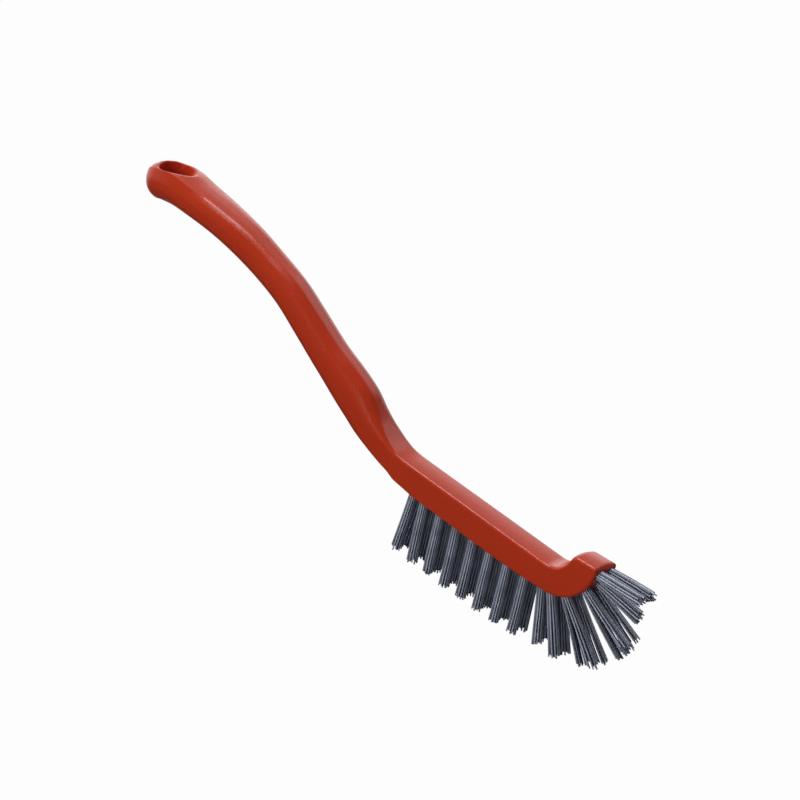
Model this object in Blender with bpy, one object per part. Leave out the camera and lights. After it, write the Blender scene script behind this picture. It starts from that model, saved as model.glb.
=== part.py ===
"""Joint brush: a one-piece moulded handle and head, two rows of bristle tufts, and the flat wire
anchors that hold the tufts in their blind holes. Metres, +X towards the nose, +Z away from the bristles."""

import math
import random

import bmesh
import bpy
from mathutils import Matrix, Vector

mm = 0.001

# Head: the straight bar that carries the tufts
head_width = 10.0 * mm
head_height = 10.6 * mm
head_length = 57.0 * mm         # the straight top, from the first square tuft to the nose
edge_radius = 0.9 * mm

# Heel: the underside slopes up behind the first square tuft
heel_length = 15.5 * mm
heel_rise = 1.1 * mm
heel_break = 4.0 * mm           # how far behind the first square tuft the slope begins

# Belly: from the middle of the head on, the underside lifts very slightly towards the nose
belly_radius = 336.0 * mm
belly_sweep = math.radians(5)
belly_overhang = 5.8 * mm       # how far the belly runs on past the end of the straight top

# Nose: the underside rolls up into a block that stands above the head
nose_radius = 21.0 * mm
nose_end_angle = math.radians(80)
nose_lip = 1.95 * mm            # from the end of the nose's arc up to the block's top
nose_hollow_start = 2.5 * mm    # where the hollow behind the block begins, past the straight top
nose_hollow_sweep = math.radians(69)
nose_back_radius = 2.6 * mm
nose_top_slope = math.radians(4.8)
nose_crown = 0.75 * mm          # how far the block's top bulges in the middle of its width
crown_start_share = 0.2         # where the crown grows from nothing to its full height, as shares of the
crown_full_share = 0.52         # outline from the straight top to the front

# Handle: a round grip that lifts and levels out to a wide hanging end
handle_length = 162.7 * mm
handle_rise = 45.1 * mm
grip_depth = 13.0 * mm
grip_width = 12.4 * mm
end_width = 17.4 * mm
end_round_length = 9.8 * mm     # how far the rounding of the end reaches, seen from above
end_round_depth = 7.0 * mm      # the same, seen from the side
end_first_share = 0.35          # how near the tip the end's first section lies, as a share of a step

# Along the handle, the shares of its length, its rise, the grip's depth and the roundness of its
# section, from the heel (square section) to the end
handle_path_shares = (
    (0.000, 0.013, 0.735, 0.00),
    (0.012, 0.024, 0.668, 0.04),
    (0.042, 0.050, 0.680, 0.16),
    (0.088, 0.106, 0.846, 0.50),
    (0.130, 0.176, 1.050, 0.76),
    (0.163, 0.242, 1.160, 0.84),
    (0.197, 0.308, 1.225, 0.86),
    (0.230, 0.366, 1.215, 0.86),
    (0.266, 0.424, 1.140, 0.86),
    (0.305, 0.488, 1.090, 0.86),
    (0.380, 0.624, 1.060, 0.86),
    (0.450, 0.744, 1.030, 0.86),
    (0.530, 0.836, 1.000, 0.84),
    (0.620, 0.914, 0.990, 0.82),
    (0.715, 0.965, 0.950, 0.80),
    (0.815, 0.994, 0.985, 0.87),
    (0.890, 1.004, 1.087, 0.95),
    (0.950, 0.975, 1.102, 0.95),
    (1.000, 0.950, 1.102, 0.95),
)
# How the section's width goes from the head's over the grip's to the end's, by share of the length
neck_end_share = 0.20
flare_start_share = 0.45

# Hanging hole: egg-shaped, wider at the top, with its long side towards the head
hole_radius = 5.1 * mm
hole_stretch_share = 0.56       # how much longer the hole reaches towards the head
hole_flare = 2.1 * mm           # how much wider the mouth is than the foot
hole_from_end = 12.3 * mm

# Tufts
tuft_count_straight = 7         # square tufts, besides the leaning one at the heel
tuft_end_gap = 5.4 * mm         # from the last square tuft to the end of the straight top
row_spacing = 5.0 * mm
tuft_hole_radius = 1.6 * mm
tuft_hole_depth = 5.6 * mm
tuft_length = 24.4 * mm
strand_across = 0.62 * mm
strand_spacing = 0.66 * mm
strand_embed = 0.5 * mm
tuft_recess = 0.4 * mm          # how far below the surface the folded ends sit
tuft_flare = 0.45 * mm          # how far the outer strands lean out at their tips
trim_ragged = 1.3 * mm
trim_flat = 0.5 * mm            # how deep the trimming cuts into the longest strands

# The leaning tuft at the heel: its distance behind the first square one, and its lean
heel_tuft_back = 5.8 * mm
heel_tuft_lean = math.radians(7.5)

# The fan round the nose. Its first pair sits just behind the nose's arc; the others are given by their
# share of that arc, angle below the head's line, length and hole depth over the straight tufts', how far
# each half leans away from the other over the straight tufts' length, and tufts abreast
fan_first_back = 3.2 * mm
fan_first_shares = (math.radians(79), 0.815, 0.90, 0.0, 2)
fan_shares = (
    (0.045, math.radians(69), 0.915, 0.90, 0.010, 2),
    (0.290, math.radians(48), 0.985, 1.00, 0.095, 2),
    (0.660, math.radians(28), 0.940, 0.90, 0.070, 2),
    (0.830, math.radians(7), 0.830, 0.80, 0.020, 1),
    (0.980, math.radians(-4), 0.800, 0.80, 0.0, 2),
)

# Anchors: flat wire driven across each folded tuft, its ends biting into the hole's wall
anchor_thickness = 0.35 * mm
anchor_height = 1.6 * mm
anchor_bite = 0.3 * mm
anchor_turn = math.radians(45)  # set across the row's line, so that neighbours don't meet
lone_anchor_turn = 0.0          # a tuft with none beside it has its anchor along the brush

fit_gap = 0.25 * mm
overrun = 1.5 * mm

# How finely the round stretches are divided
handle_rings = 46
nose_rings = 15
end_rings = 7
corner_steps = 5
crown_steps = 4
hole_sides = 12
plug_sides = 10
egg_sides = 32
belly_rings = 4
merge_distance = 0.001 * mm


def clear_scene():
    for old in list(bpy.data.objects):
        bpy.data.objects.remove(old, do_unlink=True)


def new_collection(name):
    collection = bpy.data.collections.new(name)
    bpy.context.scene.collection.children.link(collection)
    return collection


def new_material(name, colour, roughness, metallic):
    material = bpy.data.materials.new(name)
    material.use_nodes = True
    shader = material.node_tree.nodes["Principled BSDF"]
    shader.inputs["Base Color"].default_value = (*colour, 1.0)
    shader.inputs["Roughness"].default_value = roughness
    shader.inputs["Metallic"].default_value = metallic
    material.diffuse_color = (*colour, 1.0)
    return material


def mesh_object(name, bm, collection, material=None):
    bmesh.ops.recalc_face_normals(bm, faces=bm.faces)
    mesh = bpy.data.meshes.new(name)
    bm.to_mesh(mesh)
    bm.free()
    obj = bpy.data.objects.new(name, mesh)
    collection.objects.link(obj)
    if material:
        mesh.materials.append(material)
    return obj


def as_cutter(obj):
    obj.hide_render = True
    obj.display_type = "WIRE"
    return obj


def add_boolean(obj, other, operation):
    modifier = obj.modifiers.new(f"{operation.lower()}_{other.name}", "BOOLEAN")
    modifier.operation = operation
    modifier.solver = "EXACT"
    modifier.object = other


def blend(a, b, share):
    return a + (b - a) * share


def ease(share):
    share = min(max(share, 0.0), 1.0)
    return share * share * (3 - 2 * share)


def read_curve(rows, column, at):
    """A smooth curve through one column of a table, read at a value of its first column."""
    last = len(rows) - 1
    i = next((k for k in range(last) if at <= rows[k + 1][0]), last - 1)
    x0, x1 = rows[i][0], rows[i + 1][0]
    y0, y1 = rows[i][column], rows[i + 1][column]

    def slope(k):
        before, after = rows[max(k - 1, 0)], rows[min(k + 1, last)]
        return (after[column] - before[column]) / (after[0] - before[0])

    t = (at - x0) / (x1 - x0)
    span = x1 - x0
    rise = (2 * t**3 - 3 * t**2 + 1) * y0 + (3 * t**2 - 2 * t**3) * y1
    return rise + span * ((t**3 - 2 * t**2 + t) * slope(i) + (t**3 - t**2) * slope(i + 1))


def hole_share():
    return 1 - hole_from_end / handle_length


def handle_centre(share):
    x = -heel_length - handle_length * share
    z = head_height / 2 + handle_rise * read_curve(handle_path_shares, 1, share)
    return Vector((x, 0, z))


def handle_half_width(share):
    grip = blend(head_width, grip_width, ease(share / neck_end_share))
    flare = ease((share - flare_start_share) / (hole_share() - flare_start_share))
    return blend(grip, end_width, flare) / 2


def handle_half_depth(share):
    return read_curve(handle_path_shares, 2, share) * grip_depth / 2


def rib(foot, top, half_width, roundness, crown=0.0):
    return {"foot": foot, "top": top, "half_width": half_width, "roundness": roundness, "crown": crown}


def handle_rib(share, width_scale=1, depth_scale=1):
    step = 1 / handle_rings
    ahead = handle_centre(max(share - step, 0))
    behind = handle_centre(min(share + step, 1))
    along = (ahead - behind).normalized()
    up = Vector((-along.z, 0, along.x))
    centre = handle_centre(share)
    half = handle_half_depth(share) * depth_scale
    roundness = read_curve(handle_path_shares, 3, share)
    return rib(centre - up * half, centre + up * half, handle_half_width(share) * width_scale, roundness)


def rounding(distance, reach):
    """How much of its full size a section has at this distance from a rounded end."""
    inside = 1 - min(distance / reach, 1)
    return math.sqrt(1 - inside * inside)


def handle_ribs():
    ribs = []
    for k in range(end_rings):
        distance = end_round_length * ((k + end_first_share) / end_rings) ** 2
        share = 1 - distance / handle_length
        wide = rounding(distance, end_round_length)
        deep = rounding(distance, end_round_depth)
        ribs.append(handle_rib(share, wide, deep))
    first = 1 - end_round_length / handle_length
    for k in range(handle_rings):
        ribs.append(handle_rib(first * (1 - k / handle_rings)))
    return ribs


def belly_end():
    return head_length + belly_overhang


def belly_start():
    return belly_end() - belly_radius * math.sin(belly_sweep)


def underside(x):
    """Height of the underside along the heel, the straight part of the head and the belly."""
    slope_length = heel_length - heel_break
    heel = heel_rise * max(-heel_break - x, 0) / slope_length
    along = max(x - belly_start(), 0)
    return heel + belly_radius - math.sqrt(belly_radius**2 - along**2)


def head_ribs():
    belly = [blend(belly_start(), head_length, k / belly_rings) for k in range(belly_rings + 1)]
    ribs = []
    for x in [-heel_length, -heel_break] + belly:
        ribs.append(rib(Vector((x, 0, underside(x))), Vector((x, 0, head_height)), head_width / 2, 0))
    return ribs


def nose_point(share):
    """A point on the underside's arc round the nose."""
    angle = blend(belly_sweep, nose_end_angle, share)
    x = belly_end() + nose_radius * (math.sin(angle) - math.sin(belly_sweep))
    z = underside(belly_end()) + nose_radius * (math.cos(belly_sweep) - math.cos(angle))
    return Vector((x, 0, z))


def nose_front():
    return nose_point(1).x


def polyline_at(points, share):
    lengths = [(b - a).length for a, b in zip(points, points[1:])]
    left = sum(lengths) * share
    for start, end, length in zip(points, points[1:], lengths):
        if left <= length:
            return start.lerp(end, left / length)
        left -= length
    return points[-1].copy()


def arc_points(centre, radius, start, end, steps):
    turn = (end - start) / steps
    return [
        centre + radius * Vector((math.cos(start + turn * k), 0, math.sin(start + turn * k)))
        for k in range(steps + 1)
    ]


def nose_top_front():
    """Where the block's top ends, above the front."""
    return Vector((nose_front() - edge_radius, 0, nose_point(1).z + nose_lip))


def nose_hollow_radius(start):
    """The radius at which the hollow, the block's back corner and its top run into each other."""
    front = nose_top_front()
    swept, slope = nose_hollow_sweep, nose_top_slope
    corner_x = nose_back_radius * (math.sin(swept) - math.sin(slope))
    corner_z = nose_back_radius * (math.cos(slope) - math.cos(swept))
    rise = front.z - start.z - corner_z - (front.x - start.x - corner_x) * math.tan(slope)
    return rise / (1 - math.cos(swept) - math.sin(swept) * math.tan(slope))


def nose_top_outline():
    """From the head's top, up the hollow, over the block's back and along its top to the front edge."""
    quarter = math.pi / 2
    start = Vector((head_length + nose_hollow_start, 0, head_height))
    radius = nose_hollow_radius(start)
    hollow_centre = start + Vector((0, 0, radius))
    hollow = arc_points(hollow_centre, radius, -quarter, nose_hollow_sweep - quarter, nose_rings)
    heading = Vector((math.sin(nose_hollow_sweep), 0, -math.cos(nose_hollow_sweep)))
    back_centre = hollow[-1] + heading * nose_back_radius
    back = arc_points(
        back_centre, nose_back_radius, quarter + nose_hollow_sweep, quarter + nose_top_slope, nose_rings
    )
    return [Vector((head_length, 0, head_height))] + hollow + back[1:] + [nose_top_front()]


def nose_foot_outline():
    """Along the underside's arc and up the front face."""
    steps = nose_rings * 2
    start = Vector((head_length, 0, underside(head_length)))
    arc = [nose_point(k / steps) for k in range(steps + 1)]
    return [start] + arc + [Vector((nose_front(), 0, nose_top_front().z - edge_radius))]


def nose_ribs():
    tops = nose_top_outline()
    feet = nose_foot_outline()
    ribs = []
    for k in range(1, nose_rings + 1):
        share = k / nose_rings
        crown = nose_crown * ease((share - crown_start_share) / (crown_full_share - crown_start_share))
        ribs.append(rib(polyline_at(feet, share), polyline_at(tops, share), head_width / 2, 0, crown))
    corner = nose_top_front() - Vector((0, 0, edge_radius))
    third = math.pi / 6
    foot = corner + edge_radius * Vector((math.cos(third), 0, math.sin(third)))
    top = corner + edge_radius * Vector((math.sin(third), 0, math.cos(third)))
    ribs.append(rib(foot, top, head_width / 2 - edge_radius / 4, 0, nose_crown))
    return ribs


def rib_outline(half_width, half_height, radius_y, radius_z):
    """A rounded rectangle about zero, from its right side over the top and round: width and height pairs."""
    flat_y = half_width - radius_y
    flat_z = half_height - radius_z
    outline = []
    for corner in range(4):
        side_y = 1 if corner in (0, 3) else -1
        side_z = 1 if corner in (0, 1) else -1
        for k in range(corner_steps + 1):
            angle = math.pi / 2 * (corner + k / corner_steps)
            y = side_y * flat_y + radius_y * math.cos(angle)
            outline.append((y, side_z * flat_z + radius_z * math.sin(angle)))
        if corner == 0:
            for k in range(1, crown_steps):
                outline.append((blend(flat_y, -flat_y, k / crown_steps), half_height))
    return outline


def rib_ring(section):
    """Points round one section: a rounded rectangle from its foot to its top, up to a full ellipse."""
    up = section["top"] - section["foot"]
    half_height = up.length / 2
    up.normalize()
    centre = (section["top"] + section["foot"]) / 2
    half_width = section["half_width"]
    radius_y = min(blend(edge_radius, half_width, section["roundness"]), half_width)
    radius_z = min(blend(edge_radius, half_height, section["roundness"]), half_height)
    points = []
    for y, z in rib_outline(half_width, half_height, radius_y, radius_z):
        lift = section["crown"] * (1 - (y / half_width) ** 2) if z > 0 else 0.0
        points.append(centre + Vector((0, y, 0)) + up * (z + lift))
    return points


def loft(name, rings, collection, material=None):
    """A closed skin over a row of rings with the same number of points."""
    bm = bmesh.new()
    rows = [[bm.verts.new(point) for point in ring] for ring in rings]
    count = len(rows[0])
    for near, far in zip(rows, rows[1:]):
        for k in range(count):
            bm.faces.new((near[k], near[(k + 1) % count], far[(k + 1) % count], far[k]))
    bm.faces.new(rows[0])
    bm.faces.new(list(reversed(rows[-1])))
    bmesh.ops.remove_doubles(bm, verts=bm.verts, dist=merge_distance)
    return mesh_object(name, bm, collection, material)


def make_body(collection, material):
    sections = handle_ribs() + head_ribs() + nose_ribs()
    return loft("handle_body", [rib_ring(section) for section in sections], collection, material)


def egg_ring(radius, centre, height):
    points = []
    for k in range(egg_sides):
        angle = 2 * math.pi * k / egg_sides
        reach = radius * (1 + hole_stretch_share * ((1 + math.cos(angle)) / 2) ** 2)
        points.append(centre + Vector((reach * math.cos(angle), radius * math.sin(angle), height)))
    return points


def make_hanging_hole(collection):
    centre = handle_centre(hole_share())
    past = handle_half_depth(hole_share()) + overrun
    rings = [
        egg_ring(hole_radius, centre, -past),
        egg_ring(hole_radius, centre, 0),
        egg_ring(hole_radius + hole_flare, centre, past),
    ]
    return as_cutter(loft("hanging_hole_cut", rings, collection))


def tuft(label, root, angle, length, depth, split, y, turn):
    return {
        "label": label,
        "root": Vector((root.x, y, root.z)),
        "angle": angle,
        "length": length,
        "depth": depth,
        "split": split,
        "turn": turn,
    }


def tuft_places():
    """Each tuft along one row: where its axis meets the surface, its angle, length and hole depth."""
    lean = math.pi / 2 + heel_tuft_lean
    places = [(Vector((-heel_tuft_back, 0, underside(-heel_tuft_back))), lean, 1.0, 1.0, 0.0, 2)]
    pitch = (head_length - tuft_end_gap) / (tuft_count_straight - 1)
    for k in range(tuft_count_straight):
        x = pitch * k
        places.append((Vector((x, 0, underside(x))), math.pi / 2, 1.0, 1.0, 0.0, 2))
    x = belly_end() - fan_first_back
    places.append((Vector((x, 0, underside(x))), *fan_first_shares))
    for share, *rest in fan_shares:
        places.append((nose_point(share), *rest))
    return places


def all_tufts():
    tufts = []
    for number, (root, angle, length_share, depth_share, split, abreast) in enumerate(tuft_places(), 1):
        sides = {"right": -row_spacing / 2, "left": row_spacing / 2} if abreast == 2 else {"middle": 0.0}
        for side, y in sides.items():
            tufts.append(
                tuft(
                    f"{side}_{number:02d}",
                    root,
                    angle,
                    tuft_length * length_share,
                    tuft_hole_depth * depth_share,
                    tuft_length * split,
                    y,
                    anchor_turn if abreast == 2 else lone_anchor_turn,
                )
            )
    return tufts


def tuft_turn(place):
    """Turns local +Z to point out along the tuft, with local +X in the brush's middle plane."""
    return Matrix.Rotation(math.pi / 2 + place["angle"], 4, "Y")


def add_prism(bm, foot, tip, radius, sides, turn=0.0):
    """A closed straight prism from foot to tip with level ends."""
    rows = []
    for centre in (foot, tip):
        row = []
        for k in range(sides):
            angle = turn + 2 * math.pi * k / sides
            row.append(bm.verts.new(centre + radius * Vector((math.cos(angle), math.sin(angle), 0))))
        rows.append(row)
    for k in range(sides):
        bm.faces.new((rows[0][k], rows[0][(k + 1) % sides], rows[1][(k + 1) % sides], rows[1][k]))
    bm.faces.new(list(reversed(rows[0])))
    bm.faces.new(rows[1])


def add_anchor_box(bm, height, size, angle):
    """A box set across the tuft's axis and turned about it."""
    made = bmesh.ops.create_cube(bm, size=1.0)
    bmesh.ops.scale(bm, vec=size, verts=made["verts"])
    turn = Matrix.Rotation(angle, 3, "Z")
    bmesh.ops.rotate(bm, cent=Vector((0, 0, 0)), matrix=turn, verts=made["verts"])
    bmesh.ops.translate(bm, vec=Vector((0, 0, height)), verts=made["verts"])


def anchor_level(place):
    """Height of the anchor's middle in the tuft's own frame, where zero is the surface."""
    return -place["depth"] + fit_gap + anchor_height / 2


def anchor_size():
    return Vector((2 * (tuft_hole_radius + anchor_bite), anchor_thickness, anchor_height))


def slot_size():
    return anchor_size() + Vector((2 * fit_gap, 2 * fit_gap, 2 * fit_gap))


def placed(bm, place):
    bm.transform(Matrix.Translation(place["root"]) @ tuft_turn(place))
    return bm


def merged(meshes):
    """One bmesh that holds all the given ones."""
    whole = bmesh.new()
    for bm in meshes:
        part = bpy.data.meshes.new("part")
        bm.to_mesh(part)
        bm.free()
        whole.from_mesh(part)
        bpy.data.meshes.remove(part)
    return whole


def make_tuft_hole_cut(tufts, collection):
    meshes = []
    for place in tufts:
        bm = bmesh.new()
        floor = Vector((0, 0, -place["depth"]))
        mouth = Vector((0, 0, 2 * overrun))
        add_prism(bm, floor, mouth, tuft_hole_radius, hole_sides)
        meshes.append(placed(bm, place))
    return as_cutter(mesh_object("tuft_hole_cut", merged(meshes), collection))


def make_anchor_slit_cut(tufts, collection):
    meshes = []
    for place in tufts:
        bm = bmesh.new()
        add_anchor_box(bm, anchor_level(place), slot_size(), place["turn"])
        meshes.append(placed(bm, place))
    return as_cutter(mesh_object("anchor_slit_cut", merged(meshes), collection))


def strand_roots():
    """A hexagonal packing: one strand in the middle, six round it and six in the outer hollows."""
    roots = [Vector((0, 0, 0))]
    for ring, turn in ((strand_spacing, 0.0), (strand_spacing * math.sqrt(3), math.pi / 6)):
        for k in range(6):
            angle = turn + math.pi / 3 * k
            roots.append(ring * Vector((math.cos(angle), math.sin(angle), 0)))
    return roots


def strand_tip(root, place, chance):
    outer = strand_spacing * math.sqrt(3)
    lean = root * (tuft_flare / outer)
    side = 1 if root.x >= 0 else -1
    grown = place["length"] + trim_flat - trim_ragged * chance.random()
    return root + lean + Vector((side * place["split"], 0, min(grown, place["length"])))


def make_tuft(place, chance, collection, cutters, material):
    """The folded bundle that fills the hole, slotted over its anchor, with its strands fused to it."""
    bm = bmesh.new()
    foot = Vector((0, 0, -place["depth"] + fit_gap))
    top = Vector((0, 0, -tuft_recess))
    add_prism(bm, foot, top, tuft_hole_radius - fit_gap, plug_sides)
    bundle = mesh_object(f"tuft_{place['label']}", bm, collection, material)

    bm = bmesh.new()
    slot = slot_size() + Vector((tuft_hole_radius, 0, 2 * fit_gap))
    add_anchor_box(bm, anchor_level(place) - fit_gap, slot, place["turn"])
    cutter = as_cutter(mesh_object(f"slot_{place['label']}", bm, cutters))

    bm = bmesh.new()
    for root in strand_roots():
        start = root + Vector((0, 0, -tuft_recess - strand_embed))
        tip = strand_tip(root, place, chance)
        add_prism(bm, start, tip, strand_across / 2, 4, chance.random())
    strands = as_cutter(mesh_object(f"strands_{place['label']}", bm, cutters))

    for obj in (bundle, cutter, strands):
        obj.location = place["root"]
        obj.rotation_euler = tuft_turn(place).to_euler()
    add_boolean(bundle, cutter, "DIFFERENCE")
    add_boolean(bundle, strands, "UNION")
    return [bundle, cutter, strands]


def make_anchor(place, collection, material):
    bm = bmesh.new()
    add_anchor_box(bm, anchor_level(place), anchor_size(), place["turn"])
    anchor = mesh_object(f"anchor_{place['label']}", bm, collection, material)
    anchor.location = place["root"]
    anchor.rotation_euler = tuft_turn(place).to_euler()
    return anchor


def smooth_shading(obj):
    obj.data.shade_smooth()
    obj.data.set_sharp_from_angle(angle=math.radians(35))


def standing_offset(pieces):
    """Moves the middle of the brush's base, on its bristle tips, to the origin."""
    corners = [piece.matrix_basis @ vertex.co for piece in pieces for vertex in piece.data.vertices]
    back = min(corner.x for corner in corners)
    front = max(corner.x for corner in corners)
    low = min(corner.z for corner in corners)
    return Vector((-(back + front) / 2, 0, -low))


def main():
    clear_scene()
    parts = new_collection("joint_brush")
    cutters = new_collection("cutters")
    chance = random.Random(7)

    plastic = new_material("red_moulded_plastic", (0.42, 0.045, 0.025), 0.3, 0.0)
    bristle = new_material("grey_bristle", (0.07, 0.08, 0.105), 0.45, 0.0)
    wire = new_material("steel_anchor_wire", (0.62, 0.62, 0.6), 0.35, 1.0)

    tufts = all_tufts()
    body = make_body(parts, plastic)
    smooth_shading(body)
    pieces = [body]
    for make in (make_tuft_hole_cut, make_anchor_slit_cut):
        cutter = make(tufts, cutters)
        add_boolean(body, cutter, "DIFFERENCE")
        pieces.append(cutter)
    cutter = make_hanging_hole(cutters)
    add_boolean(body, cutter, "DIFFERENCE")
    pieces.append(cutter)

    outermost = [body]
    for place in tufts:
        made = make_tuft(place, chance, parts, cutters, bristle)
        outermost.append(made[-1])
        pieces += made
        pieces.append(make_anchor(place, parts, wire))

    stand = bpy.data.objects.new("brush_frame", None)
    parts.objects.link(stand)
    for piece in pieces:
        piece.parent = stand
    stand.location = standing_offset(outermost)


main()
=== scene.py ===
import math
import random

import bmesh
import bpy
from mathutils import Matrix, Vector
from mathutils.bvhtree import BVHTree


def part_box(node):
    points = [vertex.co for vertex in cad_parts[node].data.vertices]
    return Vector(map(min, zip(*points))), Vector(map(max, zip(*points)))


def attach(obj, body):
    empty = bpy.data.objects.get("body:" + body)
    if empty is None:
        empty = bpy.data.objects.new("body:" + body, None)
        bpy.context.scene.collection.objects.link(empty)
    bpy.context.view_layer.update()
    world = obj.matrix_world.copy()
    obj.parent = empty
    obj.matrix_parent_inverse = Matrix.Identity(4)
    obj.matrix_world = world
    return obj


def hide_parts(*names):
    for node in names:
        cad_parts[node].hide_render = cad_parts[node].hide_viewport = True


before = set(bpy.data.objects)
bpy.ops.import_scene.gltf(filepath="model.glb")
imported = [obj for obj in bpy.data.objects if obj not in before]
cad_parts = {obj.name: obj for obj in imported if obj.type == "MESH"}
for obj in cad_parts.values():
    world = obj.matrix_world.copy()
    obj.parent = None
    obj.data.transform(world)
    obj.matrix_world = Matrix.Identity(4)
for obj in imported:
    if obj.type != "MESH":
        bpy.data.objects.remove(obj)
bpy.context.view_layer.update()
mm = 0.001
pureWhite = (1, 1, 1, 1)
noiseSpan = {"From Min": 0.3, "From Max": 0.7}      # most values of a noise lie between these
print("frame loaded:", len(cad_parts), "solids")


def blend(a, b, share):
    return a + (b - a) * share


def ease(share):
    share = min(max(share, 0.0), 1.0)
    return share * share * (3 - 2 * share)


# a smooth curve through one column of a table, read at a value of its first column
def readCurve(rows, column, at):
    last = len(rows) - 1
    i = next((k for k in range(last) if at <= rows[k + 1][0]), last - 1)
    x0, x1 = rows[i][0], rows[i + 1][0]
    y0, y1 = rows[i][column], rows[i + 1][column]

    def slope(k):
        before, after = rows[max(k - 1, 0)], rows[min(k + 1, last)]
        return (after[column] - before[column]) / (after[0] - before[0])

    t = (at - x0) / (x1 - x0)
    rise = (2 * t**3 - 3 * t**2 + 1) * y0 + (3 * t**2 - 2 * t**3) * y1
    return rise + (x1 - x0) * ((t**3 - 2 * t**2 + t) * slope(i) + (t**3 - t**2) * slope(i + 1))


def linearColour(hexCode):
    parts = [int(hexCode[k:k + 2], 16) / 255 for k in (1, 3, 5)]
    return tuple(p / 12.92 if p <= 0.04045 else ((p + 0.055) / 1.055) ** 2.4 for p in parts) + (1.0,)


# adds a node; a setting is a property, an input is a value or the output socket that feeds it
def addNode(tree, kind, settings=None, inputs=None):
    node = tree.nodes.new(kind)
    for name, value in (settings or {}).items():
        setattr(node, name, value)
    for name, value in (inputs or {}).items():
        if isinstance(value, bpy.types.NodeSocket):
            tree.links.new(value, node.inputs[name])
        else:
            node.inputs[name].default_value = value
    return node


def newMaterial(name):
    material = bpy.data.materials.new(name)
    material.use_nodes = True
    material.node_tree.nodes.clear()
    return material, material.node_tree


def newObject(name, mesh, material=None):
    obj = bpy.data.objects.new(name, mesh)
    bpy.context.scene.collection.objects.link(obj)
    if material:
        mesh.materials.append(material)
    return obj


# The handle, head and nose: one moulding. Lengths are in millimetres, from the first square tuft and
# the flat underside of the head. They follow the solid, and at the neck the photo
handle = {
    "headWidth": 10.0, "headHeight": 10.6, "headLength": 57.0, "edgeRadius": 1.1,
    "heelLength": 15.5, "heelRise": 1.1, "heelBreak": 4.0,
    "heelStations": (-14.3, -13.1, -11.9, -10.7, -9.5, -8.3, -7.1, -5.9), "breakRoom": 0.6,
    "bellyRadius": 336.0, "bellySweep": 5.0, "bellyOverhang": 5.8,
    "noseRadius": 21.0, "noseEndAngle": 80.0, "noseLip": 1.95,
    "noseHollowStart": 2.5, "noseHollowSweep": 69.0, "noseBackRadius": 2.6, "noseTopSlope": 4.8,
    # the last two ribs close the front edge: how far round they are, and how much narrower that makes them
    "frontTurns": (22, 40), "frontTurnShare": 0.7, "frontNarrowing": 160,
    "headCrown": 0.3, "noseCrown": 0.75, "crownStart": 0.2, "crownFull": 0.52, "crownFade": 0.06,
    "length": 162.7, "rise": 45.1, "gripDepth": 13.0, "gripWidth": 12.4, "endWidth": 17.4,
    "endRoundLength": 9.8, "endRoundDepth": 8.0, "endFirstRing": 0.2,
    "neckEnd": 0.20, "flareStart": 0.45,
    "holeRadius": 5.1, "holeStretch": 0.56, "holeFlare": 2.1, "holeFromEnd": 12.3, "holeLip": 0.7,
    "rampDepth": 3.0, "rampFoot": 0.12,
    "tuftHoleRadius": 1.8,
    # the edges along the handle: share of its length, how far out the top panel's edge and the lower edge
    # are over half the width, and how far panel, bevel and side are drawn towards flat
    "edges": (
        (0.000, 0.86, 0.95, 0.00, 0.00, 0.00),
        (0.030, 0.55, 0.90, 0.25, 0.15, 0.05),
        (0.080, 0.30, 0.86, 0.45, 0.15, 0.02),
        (0.180, 0.14, 0.82, 0.45, 0.12, 0.00),
        (0.350, 0.20, 0.74, 0.40, 0.34, 0.15),
        (0.500, 0.40, 0.73, 0.45, 0.40, 0.28),
        (0.640, 0.58, 0.80, 0.42, 0.45, 0.18),
        (0.790, 0.70, 0.88, 0.50, 0.45, 0.08),
        (0.890, 0.78, 0.92, 0.55, 0.30, 0.04),
        (0.950, 0.82, 0.94, 0.45, 0.15, 0.00),
        (1.000, 0.84, 0.95, 0.10, 0.00, 0.00),
    ),
    # along the handle: share of the length, rise, depth over the grip's, roundness of the section
    "path": (
        (0.000, 0.013, 0.735, 0.00),
        (0.012, 0.024, 0.668, 0.04),
        (0.042, 0.054, 0.730, 0.16),
        (0.088, 0.116, 0.940, 0.50),
        (0.130, 0.187, 1.180, 0.76),
        (0.163, 0.259, 1.315, 0.84),
        (0.197, 0.317, 1.320, 0.86),
        (0.230, 0.370, 1.270, 0.86),
        (0.266, 0.426, 1.180, 0.86),
        (0.305, 0.490, 1.130, 0.86),
        (0.380, 0.626, 1.100, 0.86),
        (0.450, 0.746, 1.065, 0.86),
        (0.530, 0.836, 1.000, 0.84),
        (0.620, 0.914, 0.990, 0.82),
        (0.715, 0.965, 0.950, 0.80),
        (0.815, 0.990, 1.010, 0.87),
        (0.890, 1.001, 1.140, 0.95),
        (0.950, 0.970, 1.170, 0.95),
        (1.000, 0.930, 1.120, 0.95),
    ),
    "slopeReach": 0.02,         # share of the length each way that a section's slope is read over
    "bendBehind": 12.0, "bendAhead": 1.0, "bendPasses": 24,
    "handleRings": 130, "endRings": 16, "headRings": 14, "noseRings": 44,
    "hollowSteps": 40, "backSteps": 30, "noseFootSteps": 60,
    "panelLevel": 0.92,         # how high the flat panel lies between the edges and the round top
    "sideSteps": 7, "bevelSteps": 6, "panelSteps": 6,
    "mergeDistance": 0.002, "sharpAngle": 32,
}

h = handle
holeShare = 1 - h["holeFromEnd"] / h["length"]


def handleCentre(share):
    height = h["headHeight"] / 2 + h["rise"] * readCurve(h["path"], 1, share)
    return Vector((-h["heelLength"] - h["length"] * share, 0, height))


def handleHalfWidth(share):
    grip = blend(h["headWidth"], h["gripWidth"], ease(share / h["neckEnd"]))
    return blend(grip, h["endWidth"], ease((share - h["flareStart"]) / (holeShare - h["flareStart"]))) / 2


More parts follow.
